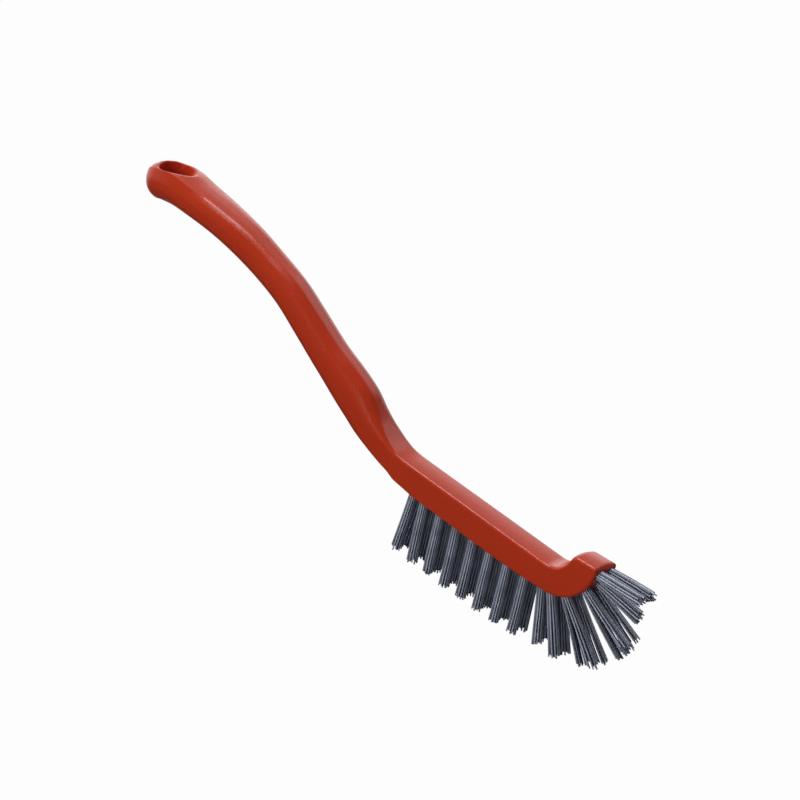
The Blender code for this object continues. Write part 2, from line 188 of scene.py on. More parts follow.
# one cross-section, standing between its foot and its top
def rib(foot, top, halfWidth, roundness, crown=0.0, edges=None):
    return {
        "foot": foot, "top": top, "halfWidth": halfWidth, "roundness": roundness,
        "crown": crown, "edges": edges}


def handleRib(share, wide=1.0, deep=1.0):
    ahead = handleCentre(max(share - h["slopeReach"], 0))
    behind = handleCentre(min(share + h["slopeReach"], 1))
    along = (ahead - behind).normalized()
    up = Vector((-along.z, 0, along.x))
    half = readCurve(h["path"], 2, share) * h["gripDepth"] / 2 * deep
    centre = handleCentre(share)
    edges = [readCurve(h["edges"], column, share) for column in range(1, 6)]
    crown = h["headCrown"] * (1 - ease(share / h["crownFade"]))
    roundness = readCurve(h["path"], 3, share)
    foot, top = centre - up * half, centre + up * half
    return rib(foot, top, handleHalfWidth(share) * wide, roundness, crown, edges)


def handleRibs():
    ribs = []
    for k in range(h["endRings"]):
        distance = h["endRoundLength"] * ((k + h["endFirstRing"]) / h["endRings"]) ** 2
        wide = math.sqrt(1 - (1 - distance / h["endRoundLength"]) ** 2)
        deep = math.sqrt(1 - (1 - min(distance / h["endRoundDepth"], 1)) ** 2)
        ribs.append(handleRib(1 - distance / h["length"], wide, deep))
    first = 1 - h["endRoundLength"] / h["length"]
    for k in range(h["handleRings"]):
        ribs.append(handleRib(first * (1 - k / h["handleRings"])))
    return ribs


# the head's top runs into the neck in a long soft bend
def softenBend(ribs):
    start, end = -h["heelLength"] - h["bendBehind"], -h["heelBreak"] - h["bendAhead"]
    bend = [i for i, r in enumerate(ribs) if start < r["top"].x < end]
    for _ in range(h["bendPasses"]):
        tops = [r["top"].copy() for r in ribs]
        for i in bend:
            ribs[i]["top"] = tops[i].lerp((tops[i - 1] + tops[i + 1]) / 2, 0.5)
    return ribs


bellySweep = math.radians(h["bellySweep"])
bellyEnd = h["headLength"] + h["bellyOverhang"]
bellyStart = bellyEnd - h["bellyRadius"] * math.sin(bellySweep)


def underside(x):
    heel = h["heelRise"] * max(-h["heelBreak"] - x, 0) / (h["heelLength"] - h["heelBreak"])
    return heel + h["bellyRadius"] - math.sqrt(h["bellyRadius"] ** 2 - max(x - bellyStart, 0) ** 2)


def headRibs():
    stations = [-h["heelLength"], *h["heelStations"]]
    stations += [-h["heelBreak"] - h["breakRoom"], -h["heelBreak"] + h["breakRoom"]]
    stations += [blend(0.0, h["headLength"], k / h["headRings"]) for k in range(h["headRings"] + 1)]
    ribs = []
    for x in stations:
        foot, top = Vector((x, 0, underside(x))), Vector((x, 0, h["headHeight"]))
        ribs.append(rib(foot, top, h["headWidth"] / 2, 0, h["headCrown"]))
    return ribs


def nosePoint(share):
    angle = blend(bellySweep, math.radians(h["noseEndAngle"]), share)
    x = bellyEnd + h["noseRadius"] * (math.sin(angle) - math.sin(bellySweep))
    return Vector((x, 0, underside(bellyEnd) + h["noseRadius"] * (math.cos(bellySweep) - math.cos(angle))))


noseFront = nosePoint(1).x
noseTopFront = Vector((noseFront - h["edgeRadius"], 0, nosePoint(1).z + h["noseLip"]))


def polylineAt(points, share):
    lengths = [(b - a).length for a, b in zip(points, points[1:])]
    left = sum(lengths) * share
    for start, end, length in zip(points, points[1:], lengths):
        if left <= length:
            return start.lerp(end, left / length)
        left -= length
    return points[-1].copy()


def arcPoints(centre, radius, start, end, steps):
    angles = [blend(start, end, k / steps) for k in range(steps + 1)]
    return [centre + radius * Vector((math.cos(a), 0, math.sin(a))) for a in angles]


# from the head's top, up the hollow, over the block's back and along its top to the front edge
def noseTopOutline():
    swept, slope, quarter = math.radians(h["noseHollowSweep"]), math.radians(h["noseTopSlope"]), math.pi / 2
    start = Vector((h["headLength"] + h["noseHollowStart"], 0, h["headHeight"]))
    back = h["noseBackRadius"]
    cornerX = back * (math.sin(swept) - math.sin(slope))
    cornerZ = back * (math.cos(slope) - math.cos(swept))
    rise = noseTopFront.z - start.z - cornerZ - (noseTopFront.x - start.x - cornerX) * math.tan(slope)
    radius = rise / (1 - math.cos(swept) - math.sin(swept) * math.tan(slope))
    hollow = arcPoints(start + Vector((0, 0, radius)), radius, -quarter, swept - quarter, h["hollowSteps"])
    backCentre = hollow[-1] + Vector((math.sin(swept), 0, -math.cos(swept))) * back
    over = arcPoints(backCentre, back, quarter + swept, quarter + slope, h["backSteps"])
    return [Vector((h["headLength"], 0, h["headHeight"]))] + hollow + over[1:] + [noseTopFront]


def noseRibs():
    tops = noseTopOutline()
    footSteps = h["noseFootSteps"]
    feet = [Vector((h["headLength"], 0, underside(h["headLength"])))]
    feet += [nosePoint(k / footSteps) for k in range(footSteps + 1)]
    feet.append(Vector((noseFront, 0, noseTopFront.z - h["edgeRadius"])))
    ribs = []
    for k in range(1, h["noseRings"] + 1):
        share = k / h["noseRings"]
        grown = ease((share - h["crownStart"]) / (h["crownFull"] - h["crownStart"]))
        crown = blend(h["headCrown"], h["noseCrown"], grown)
        ribs.append(rib(polylineAt(feet, share), polylineAt(tops, share), h["headWidth"] / 2, 0, crown))
    corner = noseTopFront - Vector((0, 0, h["edgeRadius"]))
    for degrees in h["frontTurns"]:
        turned = degrees * h["frontTurnShare"]
        low, high = math.radians(turned), math.radians(90 - turned)
        foot = corner + h["edgeRadius"] * Vector((math.cos(low), 0, math.sin(low)))
        top = corner + h["edgeRadius"] * Vector((math.cos(high), 0, math.sin(high)))
        halfWidth = h["headWidth"] / 2 - h["edgeRadius"] * degrees / h["frontNarrowing"]
        ribs.append(rib(foot, top, halfWidth, 0, h["noseCrown"]))
    return ribs


# one quarter of a rib's outline, from the side to the middle of the top or foot: a rounded corner and a
# flat, or side, bevel and panel, each drawn part of the way towards flat so that the edges between them
# show. Along it, reach runs from 0 at the side over 1 at the corner's end to 2 in the middle
def quarterOutline(halfWidth, halfHeight, radiusY, radiusZ, edges):
    flatY = halfWidth - radiusY

    def at(reach):
        if reach > 1:
            return Vector((flatY * (2 - reach), halfHeight))
        angle = math.pi / 2 * reach
        return Vector((flatY + radiusY * math.cos(angle), halfHeight - radiusZ + radiusZ * math.sin(angle)))

    def reachOf(y):
        return 2 - y / flatY if y < flatY else math.acos(min((y - flatY) / radiusY, 1)) * 2 / math.pi

    if edges:
        marks = (0.0, reachOf(halfWidth * edges[1]), reachOf(halfWidth * edges[0]), 2.0)
        pulls = (edges[4], edges[3], edges[2])
    else:
        marks, pulls = (0.0, 0.5, 1.0, 2.0), (0.0, 0.0, 0.0)
    panel = blend(at(marks[2]).y, halfHeight, h["panelLevel"])
    raised = pulls[2] * (panel - at(marks[2]).y)

    def shaped(reach):
        point = at(reach)
        if reach <= marks[2]:
            return point + Vector((0, raised * (reach / marks[2]) ** 2))
        return Vector((point.x, blend(point.y, panel, pulls[2])))

    points = []
    for number, steps in enumerate((h["sideSteps"], h["bevelSteps"], h["panelSteps"])):
        start, end = shaped(marks[number]), shaped(marks[number + 1])
        for k in range(steps + (number == 2)):
            share = k / steps
            point = shaped(blend(marks[number], marks[number + 1], share))
            pull = pulls[number] if number < 2 else 0.0
            points.append(point.lerp(start.lerp(end, share), pull))
    return points


# width and height of the points round one rib, from its left side over the top; the underside stays round
def ribOutline(halfWidth, halfHeight, radiusY, radiusZ, edges):
    upper = quarterOutline(halfWidth, halfHeight, radiusY, radiusZ, edges)
    lower = quarterOutline(halfWidth, halfHeight, radiusY, radiusZ, None)
    outline = [(p.x, p.y) for p in upper] + [(-p.x, p.y) for p in reversed(upper[:-1])]
    return outline + [(-p.x, -p.y) for p in lower] + [(p.x, -p.y) for p in reversed(lower[:-1])]


def ribRing(section):
    up = section["top"] - section["foot"]
    halfHeight = up.length / 2
    up.normalize()
    centre = (section["top"] + section["foot"]) / 2
    halfWidth = section["halfWidth"]
    radiusY = min(blend(h["edgeRadius"], halfWidth, section["roundness"]), halfWidth)
    radiusZ = min(blend(h["edgeRadius"], halfHeight, section["roundness"]), halfHeight)
    points = []
    for y, z in ribOutline(halfWidth, halfHeight, radiusY, radiusZ, section["edges"]):
        lift = section["crown"] * (1 - (y / halfWidth) ** 2) if z > 0 else 0.0
        points.append(centre + Vector((0, y, 0)) + up * (z + lift))
    return points


# the solid gives the shift from these lengths to the frame
bodyLow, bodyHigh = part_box("handle_body")
shift = Vector((bodyHigh[0] / mm - noseFront, 0, bodyLow[2] / mm))


def toFrame(point):
    return (point + shift) * mm


def loft(name, rings, material=None):
    bm = bmesh.new()
    rows = [[bm.verts.new(toFrame(point)) for point in ring] for ring in rings]
    count = len(rows[0])
    for near, far in zip(rows, rows[1:]):
        for k in range(count):
            bm.faces.new((near[k], near[(k + 1) % count], far[(k + 1) % count], far[k]))
    bm.faces.new(rows[0])
    bm.faces.new(list(reversed(rows[-1])))
    bmesh.ops.remove_doubles(bm, verts=bm.verts, dist=h["mergeDistance"] * mm)
    bmesh.ops.recalc_face_normals(bm, faces=bm.faces)
    mesh = bpy.data.meshes.new(name)
    bm.to_mesh(mesh)
    bm.free()
    return newObject(name, mesh, material)


# applies a cut at once and removes the cutter
def cutAway(obj, cutter):
    modifier = obj.modifiers.new("cut", "BOOLEAN")
    modifier.operation, modifier.solver, modifier.object = "DIFFERENCE", "EXACT", cutter
    evaluated = obj.evaluated_get(bpy.context.evaluated_depsgraph_get())
    mesh = bpy.data.meshes.new_from_object(evaluated)
    obj.modifiers.clear()
    old, obj.data = obj.data, mesh
    mesh.name = obj.name
    bpy.data.meshes.remove(old)
    bpy.data.meshes.remove(cutter.data)


# How the hanging hole's cutter is made, in millimetres
holeCutter = {
    "points": 96, "wallRings": 12, "rimRings": 9, "rimTurn": 78,
    "past": 1.5,                # how far beyond half the grip's depth the flare goes on
    "firstLevel": 0.8, "tries": 6,      # where the search for the surface starts, and its rounds
    "skirt": 1.5, "skirtRise": 0.32, "through": 3,      # how the cutter goes on past a rim
    "belowMiddle": 1.5, "overAll": 140.0, "underAll": -60.0,
}


# height of the body over or under a point, in millimetres
def surfaceHeight(tree, x, y, upper):
    start = toFrame(Vector((x, y, holeCutter["overAll"] if upper else holeCutter["underAll"])))
    hit = tree.ray_cast(start, Vector((0, 0, -1 if upper else 1)))[0]
    return None if hit is None else hit.z / mm - shift.z


# The hanging hole flares upwards and is egg-shaped at its mouth, where a short ramp runs down into it from
# the brush's side. Its rims are rounded over where they meet the surface
def hangingHoleCutter(body):
    c = holeCutter
    count = c["points"]
    tree = BVHTree.FromObject(body, bpy.context.evaluated_depsgraph_get())
    centre = handleCentre(holeShare)
    past = readCurve(h["path"], 2, holeShare) * h["gripDepth"] / 2 + c["past"]

    def eggPoint(grown, k, z, below):
        angle = 2 * math.pi * k / count
        radius = h["holeRadius"] + h["holeFlare"] * min(max((z - centre.z) / past, 0), 1) + grown
        down = min(below / h["rampDepth"], 1)
        stretch = h["holeStretch"] * blend(1.0, h["rampFoot"], down * (2 - down))
        reach = radius * (1 + stretch * ((1 + math.cos(angle)) / 2) ** 2)
        return Vector((centre.x + reach * math.cos(angle), radius * math.sin(angle), z))

    def surfaceAt(grown, k, upper):
        level = centre.z + (past if upper else -past) * c["firstLevel"]
        for _ in range(c["tries"]):
            spot = eggPoint(grown, k, level, 0.0 if upper else past)
            found = surfaceHeight(tree, spot.x, spot.y, upper)
            level = found if found is not None else level
        return level

    def rim(upper):
        rows = []
        side = 1 if upper else -1
        below = 0.0 if upper else past
        for step in range(c["rimRings"]):
            turn = math.radians(c["rimTurn"] * step / (c["rimRings"] - 1))
            grown = h["holeLip"] * (1 - math.cos(turn))
            sunk = side * h["holeLip"] * (1 - math.sin(turn))
            levels = [surfaceAt(grown, k, upper) - sunk for k in range(count)]
            rows.append([eggPoint(grown, k, level, below) for k, level in enumerate(levels)])
        outer = []
        for point in rows[-1]:
            away = Vector((point.x - centre.x, point.y, 0)).normalized()
            outer.append(point + away * c["skirt"] + Vector((0, 0, side * c["skirtRise"])))
        rows.append(outer)
        rows.append([Vector((p.x, p.y, centre.z + side * (past + c["through"]))) for p in outer])
        return rows

    top, foot = rim(True), rim(False)
    middle = [[eggPoint(0.0, k, centre.z - c["belowMiddle"], past) for k in range(count)]]
    for step in range(c["wallRings"]):
        depths = [(point.z - centre.z) * (1 - step / c["wallRings"]) for point in top[0]]
        middle.append([eggPoint(0.0, k, top[0][k].z - depth, depth) for k, depth in enumerate(depths)])
    return loft("hangingHoleCutter", list(reversed(foot)) + middle + top)


# The tufts: places along one row, each with its angle below the head's line, its length and hole depth
# over the square tufts', how far its two halves part at the tips, and how many stand abreast
tufts = {
    "rowSpacing": 4.8, "endGap": 5.4, "squareCount": 7, "length": 24.4, "holeDepth": 5.6,
    "heelBack": 5.8, "heelLean": 7.5,
    "fanFirstBack": 3.2, "fanFirst": (79, 0.815, 0.90, 0.0, 2),
    "fan": (
        (0.045, 69, 0.915, 0.90, 0.010, 2),
        (0.290, 48, 0.985, 1.00, 0.095, 2),
        (0.660, 28, 0.940, 0.90, 0.085, 2),
        (0.830, 7, 0.830, 0.80, 0.020, 1),
        (0.980, -4, 0.800, 0.80, 0.0, 2),
    ),
    # how much longer each tuft is trimmed than its solid, by its number
    "trim": {5: -0.5, 6: -0.8, 7: -1.1, 8: -1.3, 9: 1.2, 10: 0.5, 11: 0.5, 12: 1.0, 13: -0.5},
    "farTrim": {12: -0.6},
    "slant": {11: -1.0, 12: 0.9},       # how much longer its lower half is than its middle
    "halfStep": 0.45, "halfSpread": 0.7,        # how its halves part: by a step, and more outwards
    "filament": 0.53,           # thickness of one filament
    "thinnest": 0.94, "thickest": 1.05,         # how that thickness varies
    "spacing": 0.73, "rowGap": 0.5,     # from one to the next in a row, and from row to row
    "rowsTowards": (0.62, -0.64, 0.44),     # the rows lie one behind the other from this side
    "rowsEachWay": 4, "abreastEachWay": 5,
    "flare": 0.35, "strayLean": 0.05,   # how far the outer ones lean out at their tips, and each one astray
    "ragged": 1.7, "raggedPower": 1.3,          # how unevenly they are trimmed
    "bend": 0.22, "tuftBend": 0.7, "ownBend": 0.15,     # how far one bows, with its tuft and by itself
    "aboveFloor": 0.5, "belowMouth": 0.3,       # where in the hole one starts, and where it starts to lean
    "sides": 7, "steps": 7, "sharpAngle": 60, "seed": 11,
    "neverAlong": (0.3, 0.9, 0.1),      # a direction that no filament takes
    "anyTurn": 6.28,                    # how far each is turned about itself at most
    "holeSides": 28, "holeClearance": 0.02, "holeProud": 3.0,       # how the holes are cut
}


def tuftPlaces():
    t = tufts
    lean = 90 + t["heelLean"]
    places = [(Vector((-t["heelBack"], 0, underside(-t["heelBack"]))), lean, 1.0, 1.0, 0.0, 2)]
    pitch = (h["headLength"] - t["endGap"]) / (t["squareCount"] - 1)
    for k in range(t["squareCount"]):
        places.append((Vector((pitch * k, 0, underside(pitch * k))), 90, 1.0, 1.0, 0.0, 2))
    x = bellyEnd - t["fanFirstBack"]
    places.append((Vector((x, 0, underside(x))), *t["fanFirst"]))
    places += [(nosePoint(share), *rest) for share, *rest in t["fan"]]
    found = []
    for number, (root, angle, lengthShare, depthShare, split, abreast) in enumerate(places, 1):
        sides = (("right", -0.5), ("left", 0.5)) if abreast == 2 else (("middle", 0.0),)
        for side, across in sides:
            turn = Matrix.Rotation(math.pi / 2 + math.radians(angle), 4, "Y")
            spot = Vector((root.x, across * t["rowSpacing"], root.z))
            found.append({
                "label": f"{side}_{number:02d}", "number": number, "place": Matrix.Translation(spot) @ turn,
                "length": t["length"] * lengthShare + t["trim"].get(number, 0.0)
                + (t["farTrim"].get(number, 0.0) if side == "left" else 0.0),
                "depth": t["holeDepth"] * depthShare, "split": split * t["length"],
            })
    return found


def tuftHoleCutter(places):
    t = tufts
    radius = h["tuftHoleRadius"] + t["holeClearance"]
    bm = bmesh.new()
    for tuft in places:
        middle = Matrix.Translation((0, 0, t["holeProud"] / 2 - tuft["depth"] / 2))
        made = bmesh.ops.create_cone(
            bm, cap_ends=True, segments=t["holeSides"], radius1=radius, radius2=radius,
            depth=tuft["depth"] + t["holeProud"], matrix=tuft["place"] @ middle)
        for vertex in made["verts"]:
            vertex.co = toFrame(vertex.co)
    bmesh.ops.recalc_face_normals(bm, faces=bm.faces)
    mesh = bpy.data.meshes.new("tuftHoleCutter")
    bm.to_mesh(mesh)
    bm.free()
    return newObject("tuftHoleCutter", mesh)


# Injection-moulded polypropylene, pigmented brick red: a close, waxy satin skin from a polished mould,
# a soft broad sheen, and a colour that clouds very slightly where the melt flowed
plastic = {
    "colour": "#C43A1C", "clouded": "#BD361A", "cloudSize": 18.0,
    "roughness": 0.26, "flowRoughness": 0.06, "flowLength": 30.0, "flowWidth": 4.0,
    "ior": 1.47,
    "skinGrain": 0.35,          # real mould texture is finer than 0.05 mm; drawn coarser so that it shows
    "skinDepth": 0.006,
}


def mouldedPolypropylene():
    p = plastic
    material, tree = newMaterial("injectionMouldedPolypropylene")
    coords = addNode(tree, "ShaderNodeTexCoord")
    clouds = addNode(tree, "ShaderNodeTexNoise", None, {
        "Vector": coords.outputs["Object"], "Scale": 1 / (p["cloudSize"] * mm),
        "Detail": 3.0, "Roughness": 0.5})
    colour = addNode(tree, "ShaderNodeMix", {"data_type": "RGBA"}, {
        "Factor": clouds.outputs["Fac"], "A": linearColour(p["colour"]), "B": linearColour(p["clouded"])})
    along = addNode(tree, "ShaderNodeMapping", None, {
        "Vector": coords.outputs["Object"],
        "Scale": (1 / (p["flowLength"] * mm), 1 / (p["flowWidth"] * mm), 1 / (p["flowWidth"] * mm))})
    flow = addNode(tree, "ShaderNodeTexNoise", None, {
        "Vector": along.outputs["Vector"], "Scale": 1.0, "Detail": 4.0})
    rough = addNode(tree, "ShaderNodeMapRange", None, {
        "Value": flow.outputs["Fac"], **noiseSpan,
        "To Min": p["roughness"] - p["flowRoughness"] / 2,
        "To Max": p["roughness"] + p["flowRoughness"] / 2})
    grain = addNode(tree, "ShaderNodeTexNoise", None, {
        "Vector": coords.outputs["Object"], "Scale": 1 / (p["skinGrain"] * mm),
        "Detail": 3.0, "Roughness": 0.6})
    bump = addNode(tree, "ShaderNodeBump", None, {
        "Height": grain.outputs["Fac"], "Strength": 1.0, "Distance": p["skinDepth"] * mm})
    shader = addNode(tree, "ShaderNodeBsdfPrincipled", None, {
        "Base Color": colour.outputs[2], "Roughness": rough.outputs["Result"], "IOR": p["ior"],
        "Normal": bump.outputs["Normal"]})
    addNode(tree, "ShaderNodeOutputMaterial", None, {"Surface": shader.outputs["BSDF"]})
    return material


# Extruded PBT filament, slate grey: smooth drawn sides with a narrow shine along each filament, and
# each one a shade lighter or darker than its neighbour
filament = {
    "colour": "#989FB3", "light": "#D6DCEB", "dark": "#363A46",
    "roughness": 0.42, "smoother": 0.05, "rougher": 0.07, "ior": 1.5,
    "patch": 5.0,               # length over which one filament's shade wanders
    "dimmest": 0.82, "brightest": 1.1,
}


def extrudedFilament():
    f = filament
    material, tree = newMaterial("extrudedPbtFilament")
    single = addNode(tree, "ShaderNodeNewGeometry")
    shade = addNode(tree, "ShaderNodeValToRGB", None, {"Fac": single.outputs["Random Per Island"]})
    ramp = shade.color_ramp
    ramp.elements[0].color = linearColour(f["dark"])
    ramp.elements[1].color = linearColour(f["light"])
    ramp.elements.new(0.5).color = linearColour(f["colour"])
    coords = addNode(tree, "ShaderNodeTexCoord")
    bands = addNode(tree, "ShaderNodeTexNoise", None, {
        "Vector": coords.outputs["Object"], "Scale": 1 / (f["patch"] * mm), "Detail": 1.0})
    dim = addNode(tree, "ShaderNodeMapRange", None, {
        "Value": bands.outputs["Fac"], **noiseSpan, "To Min": f["dimmest"], "To Max": f["brightest"]})
    colour = addNode(tree, "ShaderNodeVectorMath", {"operation": "SCALE"}, {
        0: shade.outputs["Color"], "Scale": dim.outputs["Result"]})
    rough = addNode(tree, "ShaderNodeMapRange", None, {
        "Value": bands.outputs["Fac"], **noiseSpan,
        "To Min": f["roughness"] - f["smoother"], "To Max": f["roughness"] + f["rougher"]})
    shader = addNode(tree, "ShaderNodeBsdfPrincipled", None, {
        "Base Color": colour.outputs["Vector"], "Roughness": rough.outputs["Result"], "IOR": f["ior"]})
    addNode(tree, "ShaderNodeOutputMaterial", None, {"Surface": shader.outputs["BSDF"]})
    return material


# Drawn and flattened steel wire: bright grey metal with fine draw lines along its length
wire = {
    "colour": "#A8A6A0", "dull": "#86847F", "roughness": 0.34, "smoother": 0.06, "rougher": 0.1,
    "drawLine": 0.12, "lineLength": 2.5, "lineDepth": 0.01,
}


def drawnSteelWire():
    w = wire
    material, tree = newMaterial("drawnSteelWire")
    coords = addNode(tree, "ShaderNodeTexCoord")
    along = addNode(tree, "ShaderNodeMapping", None, {
        "Vector": coords.outputs["Object"],
        "Scale": (1 / (w["lineLength"] * mm), 1 / (w["lineLength"] * mm), 1 / (w["drawLine"] * mm))})
    lines = addNode(tree, "ShaderNodeTexNoise", None, {
        "Vector": along.outputs["Vector"], "Scale": 1.0, "Detail": 3.0})
    colour = addNode(tree, "ShaderNodeMix", {"data_type": "RGBA"}, {
        "Factor": lines.outputs["Fac"], "A": linearColour(w["colour"]), "B": linearColour(w["dull"])})
    rough = addNode(tree, "ShaderNodeMapRange", None, {
        "Value": lines.outputs["Fac"],
        "To Min": w["roughness"] - w["smoother"], "To Max": w["roughness"] + w["rougher"]})
    bump = addNode(tree, "ShaderNodeBump", None, {
        "Height": lines.outputs["Fac"], "Strength": 0.5, "Distance": w["lineDepth"] * mm})
    shader = addNode(tree, "ShaderNodeBsdfPrincipled", None, {
        "Base Color": colour.outputs[2], "Roughness": rough.outputs["Result"], "Metallic": 1.0,
        "Normal": bump.outputs["Normal"]})
    addNode(tree, "ShaderNodeOutputMaterial", None, {"Surface": shader.outputs["BSDF"]})
    return material


redPlastic, greyFilament, steelWire = mouldedPolypropylene(), extrudedFilament(), drawnSteelWire()
print("materials made")

places = tuftPlaces()
sections = softenBend(handleRibs() + headRibs()) + noseRibs()
body = loft("moulded_handle", [ribRing(section) for section in sections], redPlastic)
cutAway(body, hangingHoleCutter(body))
cutAway(body, tuftHoleCutter(places))
body.data.shade_smooth()
body.data.set_sharp_from_angle(angle=math.radians(h["sharpAngle"]))
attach(body, "root")
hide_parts("handle_body")
print("handle, head and nose:", len(body.data.polygons), "faces")


# where the filaments stand in the hole: staggered rows, one beside the other
def filamentRoots(place):
    t = tufts
    reach = h["tuftHoleRadius"] - t["filament"] / 2
    back = place.inverted().to_3x3() @ Vector(t["rowsTowards"])
    back = Vector((back.x, back.y, 0)).normalized()
    aside = Vector((-back.y, back.x, 0))
    roots = []
    for row in range(-t["rowsEachWay"], t["rowsEachWay"] + 1):
        for k in range(-t["abreastEachWay"], t["abreastEachWay"] + 1):
            spot = aside * (k + row % 2 / 2) * t["spacing"] + back * row * t["rowGap"]
            if spot.length < reach:
                roots.append(spot)
    return roots


# one filament as a bent round rod with a square-cut tip
def addFilament(points, faces, path, radius, sides, turn):
    first = len(points)
    for k, spot in enumerate(path):
        along = (path[min(k + 1, len(path) - 1)] - path[max(k - 1, 0)]).normalized()
        across = along.cross(Vector(tufts["neverAlong"])).normalized()
        other = along.cross(across)
        for s in range(sides):
            angle = turn + 2 * math.pi * s / sides
            points.append(spot + (across * math.cos(angle) + other * math.sin(angle)) * radius)
    for k in range(len(path) - 1):
        for s in range(sides):
            a, b = first + k * sides + s, first + k * sides + (s + 1) % sides
            faces.append((a, b, b + sides, a + sides))
    faces.append(tuple(range(first + sides - 1, first - 1, -1)))
    last = first + (len(path) - 1) * sides
    faces.append(tuple(range(last, last + sides)))


def makeTuft(tuft, chance):
    t = tufts
    points, faces = [], []
    reach = h["tuftHoleRadius"] - t["filament"] / 2
    start = -tuft["depth"] + t["aboveFloor"]
    slant = t["slant"].get(tuft["number"], 0.0)
    tuftBend = Vector((chance.uniform(-1, 1), chance.uniform(-1, 1), 0)) * t["bend"] * t["tuftBend"]
    for root in filamentRoots(tuft["place"]):
        stray = Vector((chance.gauss(0, t["strayLean"]), chance.gauss(0, t["strayLean"]), 0))
        aside = root.x / reach * t["halfSpread"] + math.copysign(t["halfStep"], root.x)
        trim = tuft["length"] + slant * aside - t["ragged"] * chance.random() ** t["raggedPower"]
        lean = root * (t["flare"] / reach) + stray
        tip = root + lean + Vector((aside * tuft["split"], 0, trim))
        bend = tuftBend + Vector((chance.gauss(0, 1), chance.gauss(0, 1), 0)) * t["bend"] * t["ownBend"]
        path = [root + Vector((0, 0, start)), root - Vector((0, 0, t["belowMouth"]))]
        for k in range(1, t["steps"] + 1):
            share = k / t["steps"]
            path.append(root.lerp(tip, share) + bend * math.sin(math.pi * share))
        radius = t["filament"] / 2 * chance.uniform(t["thinnest"], t["thickest"])
        addFilament(points, faces, path, radius, t["sides"], chance.uniform(0, t["anyTurn"]))
    mesh = bpy.data.meshes.new(f"bristles_{tuft['label']}")
    mesh.from_pydata([toFrame(tuft["place"] @ point) for point in points], [], faces)
    mesh.update()
    mesh.shade_smooth()
    mesh.set_sharp_from_angle(angle=math.radians(t["sharpAngle"]))
    obj = newObject(f"bristles_{tuft['label']}", mesh, greyFilament)
    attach(obj, "root")
    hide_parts(f"tuft_{tuft['label']}")


chance = random.Random(tufts["seed"])
for tuft in places:
    makeTuft(tuft, chance)
print("tufts:", len(places), "with", len(filamentRoots(places[0]["place"])), "filaments each")

for name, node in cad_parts.items():
    if name.startswith("anchor_"):
        node.data.materials.clear()
        node.data.materials.append(steelWire)
print("anchors: drawn steel on the solids")

# The floor is plain white and runs out of sight, and the world behind it is as white. What shines on the
# brush shows that white sweep on the far side, brightest near the horizon, and a dim room on the near side
stage = {
    "floorSize": 14.0, "floorColour": "#7C7C7C", "floorGlow": 0.98, "ambient": 0.12,
    "sweepTowards": (-0.69, 0.72, 0.0),
    "floorSweep": (0.12, 0.28), "worldSweep": (0.0, 0.35),      # where it starts, and where it is full
    "dimFrom": 0.25, "dimFull": 0.48, "highSweep": 0.42,        # it fades upwards, to this
    "dimRoom": 0.02,
    "lightsAim": (0.0, 0.0, 0.05),
}


def reflectedWhite(tree, spot, sweep):
    s = stage
    across = addNode(tree, "ShaderNodeVectorMath", {"operation": "DOT_PRODUCT"}, {
        0: spot, 1: s["sweepTowards"]})
    height = addNode(tree, "ShaderNodeSeparateXYZ", None, {"Vector": spot})
    behind = addNode(tree, "ShaderNodeMapRange", {"interpolation_type": "SMOOTHSTEP"}, {
        "Value": across.outputs["Value"], "From Min": sweep[0], "From Max": sweep[1],
        "To Min": 0.0, "To Max": 1.0})
    high = addNode(tree, "ShaderNodeMapRange", {"interpolation_type": "SMOOTHSTEP"}, {
        "Value": height.outputs["Z"], "From Min": s["dimFrom"], "From Max": s["dimFull"],
        "To Min": 1.0, "To Max": s["highSweep"]})
    return addNode(tree, "ShaderNodeMix", None, {
        "Factor": behind.outputs["Result"], "A": s["dimRoom"], "B": high.outputs["Result"]}).outputs[0]


def whiteFloor():
    material, tree = newMaterial("matteWhiteFloor")
    ray = addNode(tree, "ShaderNodeLightPath")
    spot = addNode(tree, "ShaderNodeNewGeometry").outputs["Position"]
    shine = reflectedWhite(tree, spot, stage["floorSweep"])
    strength = addNode(tree, "ShaderNodeMix", None, {
        "Factor": ray.outputs["Is Glossy Ray"], "A": 1.0, "B": shine})
    seen = addNode(tree, "ShaderNodeMath", {"operation": "MAXIMUM"}, {
        0: ray.outputs["Is Camera Ray"], 1: ray.outputs["Is Transmission Ray"]})
    glow = addNode(tree, "ShaderNodeMath", {"operation": "MULTIPLY"}, {
        0: seen.outputs["Value"], 1: stage["floorGlow"]})
    share = addNode(tree, "ShaderNodeMath", {"operation": "MAXIMUM"}, {
        0: glow.outputs["Value"], 1: ray.outputs["Is Glossy Ray"]})
    matt = addNode(tree, "ShaderNodeBsdfDiffuse", None, {"Color": linearColour(stage["floorColour"])})
    white = addNode(tree, "ShaderNodeEmission", None, {"Color": pureWhite, "Strength": strength.outputs[0]})
    mixed = addNode(tree, "ShaderNodeMixShader", None, {
        0: share.outputs["Value"], 1: matt.outputs["BSDF"], 2: white.outputs["Emission"]})
    addNode(tree, "ShaderNodeOutputMaterial", None, {"Surface": mixed.outputs["Shader"]})
    mesh = bpy.data.meshes.new("floor")
    half = stage["floorSize"] / 2
    corners = [(-half, -half, 0), (half, -half, 0), (half, half, 0), (-half, half, 0)]
    mesh.from_pydata(corners, [], [(0, 1, 2, 3)])
    floor = newObject("floor", mesh, material)


